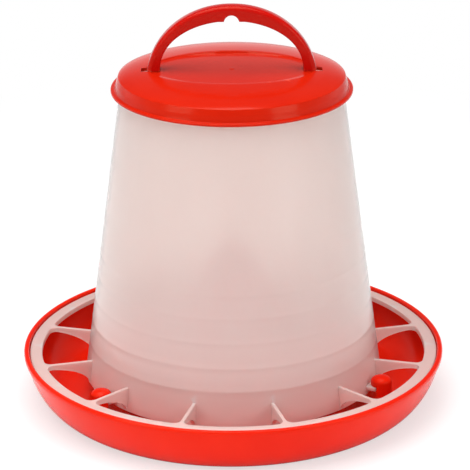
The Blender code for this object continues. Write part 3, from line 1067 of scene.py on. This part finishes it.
@dataclass
class Lid:
    """The red lid: a domed cap with a flange, an oval finger recess and a slot for each handle leg."""

    bottom_z: float = field(default_factory=lambda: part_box("lid")[0].z)
    flange_radius: float = field(default_factory=lambda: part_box("lid")[1].x)
    stop_z: float = 0.2015
    inner_radius: float = 0.0673
    mouth_radius: float = 0.0646
    wall: float = 0.0020
    spacing: float = 0.003
    flange_thickness: float = 0.0016
    flange_top_round: float = 0.0006
    flange_bottom_round: float = 0.0004
    flange_root_round: float = 0.0005
    side_round: float = 0.0012
    inner_round: float = 0.0003
    draft: float = 0.0010
    shoulder_height: float = 0.0036
    shoulder_inset: float = 0.0012
    shoulder_round: float = 0.0006
    lead_in: tuple[float, float] = (0.002, 0.0008)
    dome_height: float = 0.0056
    dome_pull_top: float = 0.54
    dome_pull_side: tuple[float, float] = (0.90, 0.36)
    dome_steps: int = 64
    dome_rings: int = 16
    dome_crowding: float = 0.9
    form_sides: int = 720
    pole_radius: float = 0.0002
    recess_half_length: float = 0.049
    recess_half_width: float = 0.0325
    recess_edge_below_dome: float = 0.0022
    recess_crown: float = 0.0003
    recess_draft: float = 0.97
    recess_edge: float = 0.00045
    recess_edge_steps: int = 5
    recess_rings: int = 14
    bowl_wall: float = 0.0018
    foot_inner_x: float = 0.0428
    foot_outer_x: float = 0.0506
    slot_free_length: float = 0.0036
    slot_half_width: float = 0.0035
    pocket_half_width: float = 0.0053
    pocket_clearance: float = 0.0004
    boss_inward: float = 0.0036
    boss_outward: float = 0.0020
    boss_sideways: float = 0.0016
    boss_below_recess_edge: float = 0.0009
    tool_reach: float = 0.002
    gate_radius: float = 0.0016
    gate_height: float = 0.00035
    gate_steps: int = 4

    @property
    def shoulder(self) -> Vector:
        """Where the side ends and the dome starts."""
        side_radius = self.inner_radius + self.wall
        return Vector((side_radius - self.shoulder_inset, self.stop_z + self.shoulder_height))

    @property
    def under_end(self) -> Vector:
        """Where the dome's underside ends."""
        return Vector((self.mouth_radius, self.shoulder.y - self.wall / 2))

    @property
    def top_z(self) -> float:
        """Height of the dome's middle, before the recess is taken out."""
        return self.shoulder.y + self.dome_height

    @property
    def recess_edge_z(self) -> float:
        """Height of the recess floor's edge."""
        return self.top_z - self.recess_edge_below_dome

    def dome(self, drop: float, end: Vector) -> list[Vector]:
        """Return the dome's curve.

        Args:
            drop: How far below the outer dome it lies.
            end: Where it ends at the side.

        Returns:
            Points from near the middle to the end.
        """
        top = self.top_z - drop
        across, down = self.dome_pull_side
        start = Vector((self.pole_radius, top))
        pull_side = Vector((end.x * across, top - self.dome_height * down))
        return swept(start, Vector((end.x * self.dome_pull_top, top)), pull_side, end, self.dome_steps)

    def recess_floor(self, grow: float, drop: float) -> list[Ring]:
        """Return the recess floor's rings from its middle, which stands slightly higher, to its edge.

        Args:
            grow: How much wider than the recess they are.
            drop: How far below it they lie.

        Returns:
            The rings.
        """
        rings = []
        for step in range(1, self.recess_rings + 1):
            share = step / self.recess_rings
            height = self.recess_edge_z + self.recess_crown * (1 - share**2) - drop
            rings.append(Ring(share * (self.recess_half_length * self.recess_draft + grow),
                              share * (self.recess_half_width * self.recess_draft + grow), height))
        return rings

    def gate(self) -> list[Ring]:
        """Draw the small round mark that moulding left in the middle of the recess.

        Returns:
            Its rings from the middle outwards.
        """
        floor_z = self.recess_edge_z + self.recess_crown
        rings = [Ring(self.pole_radius, self.pole_radius, floor_z + self.gate_height)]
        for step in range(self.gate_steps + 1):
            turn = QUARTER_TURN * step / self.gate_steps
            radius = self.gate_radius * (0.5 + 0.5 * math.sin(turn))
            rings.append(Ring(radius, radius, floor_z + self.gate_height * math.cos(turn)))
        return rings

    def between(self, first: Ring, last: Ring, crowding: float = 1.0) -> list[Ring]:
        """Return the rings that lead from one ring to another, at the dome's height.

        Args:
            first: The ring before them.
            last: The ring after them.
            crowding: Below 1, the rings stand closer together towards the last one.

        Returns:
            The rings.
        """
        rings = []
        for step in range(1, self.dome_rings):
            share = (step / self.dome_rings) ** crowding
            rings.append(Ring(first.rx + (last.rx - first.rx) * share,
                              first.ry + (last.ry - first.ry) * share, self.top_z))
        return rings

    def side(self) -> list[Vector]:
        """Draw the lid's side.

        Returns:
            Its points from the shoulder, round the flange and up the inside to the dome's underside.
        """
        outer_radius = self.inner_radius + self.wall
        flange_top = self.bottom_z + self.flange_thickness
        points = filleted([
            (self.shoulder.x - self.lead_in[0], self.shoulder.y + self.lead_in[1], 0.0),
            (self.shoulder.x, self.shoulder.y, self.shoulder_round),
            (outer_radius, self.stop_z, self.side_round),
            (outer_radius + self.draft, flange_top, self.flange_root_round),
            (self.flange_radius, flange_top, self.flange_top_round),
            (self.flange_radius, self.bottom_z, self.flange_bottom_round),
            (self.inner_radius + self.draft, self.bottom_z, self.inner_round),
            (self.inner_radius, self.stop_z, self.inner_round),
            (self.mouth_radius, self.stop_z, 0.0),
            (self.under_end.x, self.under_end.y, 0.0),
        ])
        # The first point only steers the shoulder's fillet
        return spaced(points[1:], self.spacing)

    def build(self, finish: bpy.types.Material) -> Piece:
        """Build the lid and hand it over.

        Args:
            finish: The lid's material.

        Returns:
            The finished lid.
        """
        # The recess's rounded edge: how far each ring stands out from the wall and below the dome
        turns = [QUARTER_TURN * step / self.recess_edge_steps for step in range(self.recess_edge_steps + 1)]
        edge = [(self.recess_edge * (1 - math.cos(a)), self.recess_edge * (1 - math.sin(a))) for a in turns]
        edge_rings = [Ring(self.recess_half_length + out, self.recess_half_width + out, self.top_z)
                      for out, _ in edge]
        shoulder = Ring(self.shoulder.x, self.shoulder.x, self.top_z)
        under_floor = self.recess_floor(self.bowl_wall, self.wall)
        under_side = Ring(self.under_end.x, self.under_end.x, self.top_z)
        under_rim = Ring(under_floor[-1].rx, under_floor[-1].ry, self.top_z)
        groups = [
            self.gate() + self.recess_floor(0.0, 0.0),
            edge_rings,
            self.between(edge_rings[-1], shoulder, self.dome_crowding),
            round_rings(self.side()),
            self.between(under_side, under_rim) + [under_rim],
            under_floor[::-1],
        ]
        lid = ring_body("feed_lid", sum(groups, []), closed=False)
        starts = [sum(len(group) for group in groups[:index]) for index in range(len(groups))]
        self.lay_on(lid, self.dome(0.0, self.shoulder), starts[1], starts[3])
        self.lay_on(lid, self.dome(self.wall, self.under_end), starts[4], starts[5])
        for number, (_, drop) in enumerate(edge, starts[1]):
            with editing(lid, lambda vertex: number * SIDES <= vertex.index < (number + 1) * SIDES):
                bpy.ops.transform.translate(value=(0.0, 0.0, -drop))
        self.cut_seats(lid)
        return hand_over(lid, finish, "lid")

    def lay_on(self, lid: Piece, curve: list[Vector], first: int, last: int) -> None:
        """Lay some of the lid's rings on a dome, by projecting them along Z.

        Args:
            lid: The lid.
            curve: The dome's curve.
            first: The first ring that is laid.
            last: The ring after the last one that is laid.
        """
        target = ring_body("dome_form", round_rings(curve), closed=False, sides=self.form_sides)
        group = lid.vertex_groups.new(name="laid")
        group.add(list(range(first * SIDES, last * SIDES)), 1.0, "REPLACE")
        laid = lid.modifiers.new("laid", "SHRINKWRAP")
        laid.wrap_method = "PROJECT"
        laid.use_project_z = True
        laid.use_negative_direction = True
        laid.use_positive_direction = True
        laid.target = target
        laid.vertex_group = group.name
        apply_all(lid)
        lid.vertex_groups.clear()
        bpy.data.objects.remove(target, do_unlink=True)

    def cut_seats(self, lid: Piece) -> None:
        """Add the thick seat under each handle foot, and cut its pocket and slot.

        Args:
            lid: The lid.
        """
        inner, outer = self.foot_inner_x, self.foot_outer_x + self.slot_free_length
        floor_z, above = self.recess_edge_z, self.top_z + self.tool_reach
        boss_z = floor_z + self.recess_crown / 2 - self.wall
        half = self.pocket_half_width
        for join, label, near, far, half_width, low_z, high_z in (
            (Join.ADD, "boss", inner - self.boss_inward, outer + self.boss_outward,
             half + self.boss_sideways, boss_z, floor_z - self.boss_below_recess_edge),
            (Join.CUT, "pocket", inner - self.pocket_clearance, outer, half, floor_z, above),
            (Join.CUT, "slot", inner, outer, self.slot_half_width, boss_z - self.tool_reach, above),
        ):
            tools = []
            for side in Side:
                low_x, high_x = sorted((side.value * near, side.value * far))
                low, high = Vector((low_x, -half_width, low_z)), Vector((high_x, half_width, high_z))
                tools.append(block_body(label, low, high))
            work(lid, join, [joined(tools, label)])


@dataclass
class Handle:
    """The red handle: a springy arch with a hook notch, and two legs with toes under the lid."""

    half_span: float = 0.05155
    top_z: float = field(default_factory=lambda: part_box("handle")[1].z)
    leg_bottom_z: float = field(default_factory=lambda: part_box("handle")[0].z)
    half_depth: float = field(default_factory=lambda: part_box("handle")[1].y)
    foot_z: float = 0.2088
    rise: float = 0.0489
    band: float = 0.0089
    foot_inner_x: float = 0.04275
    inner_fullness: float = 0.93
    inner_steps: int = 36
    outer_fullness: float = 0.975
    outer_steps: int = 96
    outer_edge: float = 0.0026
    outer_edge_segments: int = 6
    inner_edge_share: float = 0.27
    outside_share: float = 0.985
    face_border: float = 0.0002
    notch_half_mouth: float = 0.0046
    notch_depth: float = 0.0034
    notch_clearance: float = 0.0034
    notch_lip: float = 0.0010
    notch_lip_drop: float = 0.0005
    notch_pull_mouth: tuple[float, float] = (0.82, 0.65)
    notch_pull_top: float = 0.50
    notch_steps: int = 12
    leg_thickness: float = 0.0048
    leg_half_width: float = 0.0032
    leg_overlap: float = 0.0024
    leg_edge: float = 0.0003
    toe_length: float = 0.0032
    toe_thickness: float = 0.0024

    @property
    def centre_z(self) -> float:
        """Height of the arch's centre."""
        return self.top_z - self.rise

    def outer_path(self) -> list[Vector]:
        """Draw the arch's outside.

        Returns:
            Its points from the right foot over the top to the left one.
        """
        start = math.asin(((self.foot_z - self.centre_z) / self.rise) ** (1 / self.outer_fullness))
        path = []
        for step in range(self.outer_steps + 1):
            angle = start + (math.pi - 2 * start) * step / self.outer_steps
            across = math.copysign(abs(math.cos(angle)) ** self.outer_fullness, math.cos(angle))
            height = self.centre_z + self.rise * math.sin(angle) ** self.outer_fullness
            path.append(Vector((self.half_span * across, height)))
        return path

    def inner_path(self) -> list[Vector]:
        """Draw the arch's inside with the notch in its middle.

        Returns:
            Its points from the left foot to the right one.
        """
        crown = self.top_z - self.band
        end = math.acos(-(self.notch_half_mouth + self.notch_clearance) / self.foot_inner_x)
        half = []
        for step in range(self.inner_steps + 1):
            angle = math.pi + (end - math.pi) * step / self.inner_steps
            height = self.foot_z + (crown - self.foot_z) * math.sin(angle) ** self.inner_fullness
            half.append(Vector((self.foot_inner_x * math.cos(angle), height)))
        lip_z = crown - self.notch_lip_drop
        mouth = Vector((-self.notch_half_mouth, lip_z))
        top = Vector((0.0, crown + self.notch_depth))
        across, up = self.notch_pull_mouth
        near_mouth = Vector((mouth.x * across, lip_z + (top.y - lip_z) * up))
        near_top = Vector((mouth.x * self.notch_pull_top, top.y))
        half.append(Vector((mouth.x - self.notch_lip, lip_z)))
        half += swept(mouth, near_mouth, near_top, top, self.notch_steps)
        return half + [Vector((-point.x, point.y)) for point in reversed(half[:-1])]

    def build(self, finish: bpy.types.Material) -> Piece:
        """Build the handle and hand it over.

        Args:
            finish: The handle's material.

        Returns:
            The finished handle.
        """
        arch = plate_body("carry_handle", self.outer_path() + self.inner_path(), self.half_depth)
        self.round_edges(arch)
        work(arch, Join.ADD, [self.leg(side) for side in Side])
        return hand_over(arch, finish, "handle")

    def round_edges(self, arch: Piece) -> None:
        """Round the arch's outer edges widely and its inner edges a little.

        Args:
            arch: The arch.
        """
        mesh = arch.data
        weights = mesh.attributes.new("bevel_weight_edge", "FLOAT", "EDGE")
        for index, line in enumerate(mesh.edges):
            first, second = (mesh.vertices[number].co for number in line.vertices)
            middle = (first + second) / 2
            if abs(first.y - second.y) > self.half_depth or middle.z < self.foot_z + 0.00005:
                continue
            out = math.hypot(middle.x / self.half_span, (middle.z - self.centre_z) / self.rise)
            weights.data[index].value = 1.0 if out > self.outside_share else self.inner_edge_share
        bevelled(arch, self.outer_edge, self.outer_edge_segments, "WEIGHT")
        # A narrow border keeps the flat front and back faces flat in shading
        with editing(arch, lambda vertex: False):
            bpy.context.tool_settings.mesh_select_mode = (False, False, True)
        for face in mesh.polygons:
            face.select = abs(face.normal.y) > 0.999 and len(face.vertices) > 8
        bpy.ops.object.mode_set(mode="EDIT")
        bpy.ops.mesh.inset(thickness=self.face_border, use_individual=True)
        bpy.ops.object.mode_set(mode="OBJECT")

    def leg(self, side: Side) -> Piece:
        """Model one leg with its toe.

        Args:
            side: Which side of the handle it is on.

        Returns:
            The leg.
        """
        face = self.foot_inner_x + SEAT_GAP
        back = face + self.leg_thickness
        toe = face - self.toe_length
        toe_top = self.leg_bottom_z + self.toe_thickness
        top = self.foot_z + self.leg_overlap
        outline = [
            (back, top),
            (back, self.leg_bottom_z),
            (toe + self.toe_thickness / 2, self.leg_bottom_z),
            (toe, toe_top),
            (face, toe_top),
            (face, top),
        ]
        points = [Vector((side.value * x, z)) for x, z in outline]
        return bevelled(plate_body("leg", points, self.leg_half_width), self.leg_edge, 2)


# The studio


@dataclass(frozen=True)
class Panel:
    """A square light: its name, place, side in metres, power in watts, and the place it faces."""

    name: str
    place: Triple
    size: float
    power: float
    aim: Triple = (0.0, 0.0, 0.1)

    def add(self) -> None:
        """Add the light, which doesn't show through the milky plastic."""
        place = Vector(self.place)
        turn = (Vector(self.aim) - place).to_track_quat("-Z", "Y").to_euler()
        bpy.ops.object.light_add(type="AREA", location=place, rotation=turn)
        light = bpy.context.object
        light.name = self.name
        light.data.size = self.size
        light.visible_transmission = False
        light.data.energy = self.power


@dataclass
class Studio:
    """A pale floor, soft lights, a white surround and the camera."""

    lens: float = 189.5
    sensor: float = 36.0
    camera_place: Triple = (0.00143, -1.416, 0.6448)
    camera_tilt: float = math.radians(69.04)
    camera_roll: float = math.radians(-0.3)
    floor_half: float = 6.0
    floor_colour: Triple = (0.93, 0.93, 0.93)
    floor_roughness: float = 0.9
    floor_specular: float = 0.1
    floor_whitening: float = 0.6
    floor_fade: Triple = (1.6, 1.6, 1.6)
    floor_fade_end: float = 0.75
    horizon_start: float = 0.05
    horizon_end: float = 0.34
    overhead: float = 0.12
    ambient: float = 0.55
    panels: tuple[Panel, ...] = (
        Panel("top_panel", (-0.2, -0.1, 1.6), 1.4, 25.0),
        Panel("left_panel", (-1.3, -1.0, 0.9), 0.8, 5.6),
        Panel("right_panel", (1.3, -1.0, 0.8), 0.8, 6.4),
    )

    def build(self) -> None:
        """Build the whole studio."""
        self.add_camera()
        self.add_floor()
        self.add_world()
        for panel in self.panels:
            panel.add()
        bpy.context.scene.view_settings.view_transform = "Standard"

    def add_camera(self) -> None:
        """Add the camera at the photograph's viewing angle."""
        turn = Euler((self.camera_tilt, 0.0, 0.0)).to_matrix() @ Matrix.Rotation(self.camera_roll, 3, "Z")
        bpy.ops.object.camera_add(location=self.camera_place, rotation=turn.to_euler())
        camera = bpy.context.object
        camera.data.sensor_width = self.sensor
        camera.data.lens = self.lens
        bpy.context.scene.camera = camera

    def add_floor(self) -> None:
        """Add a pale floor that fades into the white surround and keeps the object's shadow."""
        bpy.ops.mesh.primitive_plane_add(size=2 * self.floor_half, location=ORIGIN)
        floor = named(bpy.context.object, "studio_floor")
        desk = NodeDesk.fresh("studio_paper")
        paper = desk.fill("Principled BSDF", Base_Color=(*self.floor_colour, 1.0),
                          Roughness=self.floor_roughness, Specular_IOR_Level=self.floor_specular)
        white = desk.add("Emission", Color=WHITE, Strength=1.0).outputs["Emission"]
        fade = desk.add("TexGradient", Vector=desk.object_place(Vector(self.floor_fade)))
        fade.gradient_type = "SPHERICAL"
        far = desk.spread(fade.outputs["Fac"], 1.0, self.floor_whitening, 0.0, self.floor_fade_end)
        seen = desk.add("Math:MULTIPLY", far, desk.add("LightPath").outputs["Is Camera Ray"]).outputs[0]
        mix = desk.add("MixShader", seen, paper.outputs["BSDF"], white)
        desk.fill("Material Output", Surface=mix.outputs["Shader"])
        floor.data.materials.append(desk.owner)

    def add_world(self) -> None:
        """Add a surround that is white to look at and through, and in reflections dims with height."""
        world = bpy.data.worlds.new("studio_surround")
        bpy.context.scene.world = world
        world.use_nodes = True
        desk = NodeDesk(world)
        rays = desk.add("LightPath").outputs
        height = desk.add("SeparateXYZ", desk.add("TexCoord").outputs["Generated"]).outputs["Z"]
        reflected = desk.spread(height, 1.0, self.overhead, self.horizon_start, self.horizon_end)
        seen = desk.add("Math:MAXIMUM", rays["Is Camera Ray"], rays["Is Transmission Ray"]).outputs[0]
        level = self.ambient
        for share, strength in ((rays["Is Glossy Ray"], reflected), (seen, 1.0)):
            level = desk.add("Mix", Factor=share, A=level, B=strength).outputs["Result"]
        desk.fill("Background", Color=WHITE, Strength=level)


def main() -> None:
    """Build the studio and every piece in order."""
    logging.basicConfig(level=logging.INFO, format="%(name)s %(message)s")
    Studio().build()
    # The three red pieces are one plastic; the lid's and handle's reds are painted darker than the pan's, as
    # painted shade against the strong top light
    Pan().build(RedPlastic("pan_red_plastic", (0.80, 0.016, 0.003), (0.74, 0.011, 0.002)).make())
    Hopper().build(MilkyPlastic("hopper_milky_plastic").make())
    Lid().build(RedPlastic("lid_red_plastic_painted_shade").make())
    Handle().build(RedPlastic("handle_red_plastic_painted_shade", (0.48, 0.005, 0.003), (0.44, 0.003, 0.002)).make())


if __name__ == "__main__":
    main()
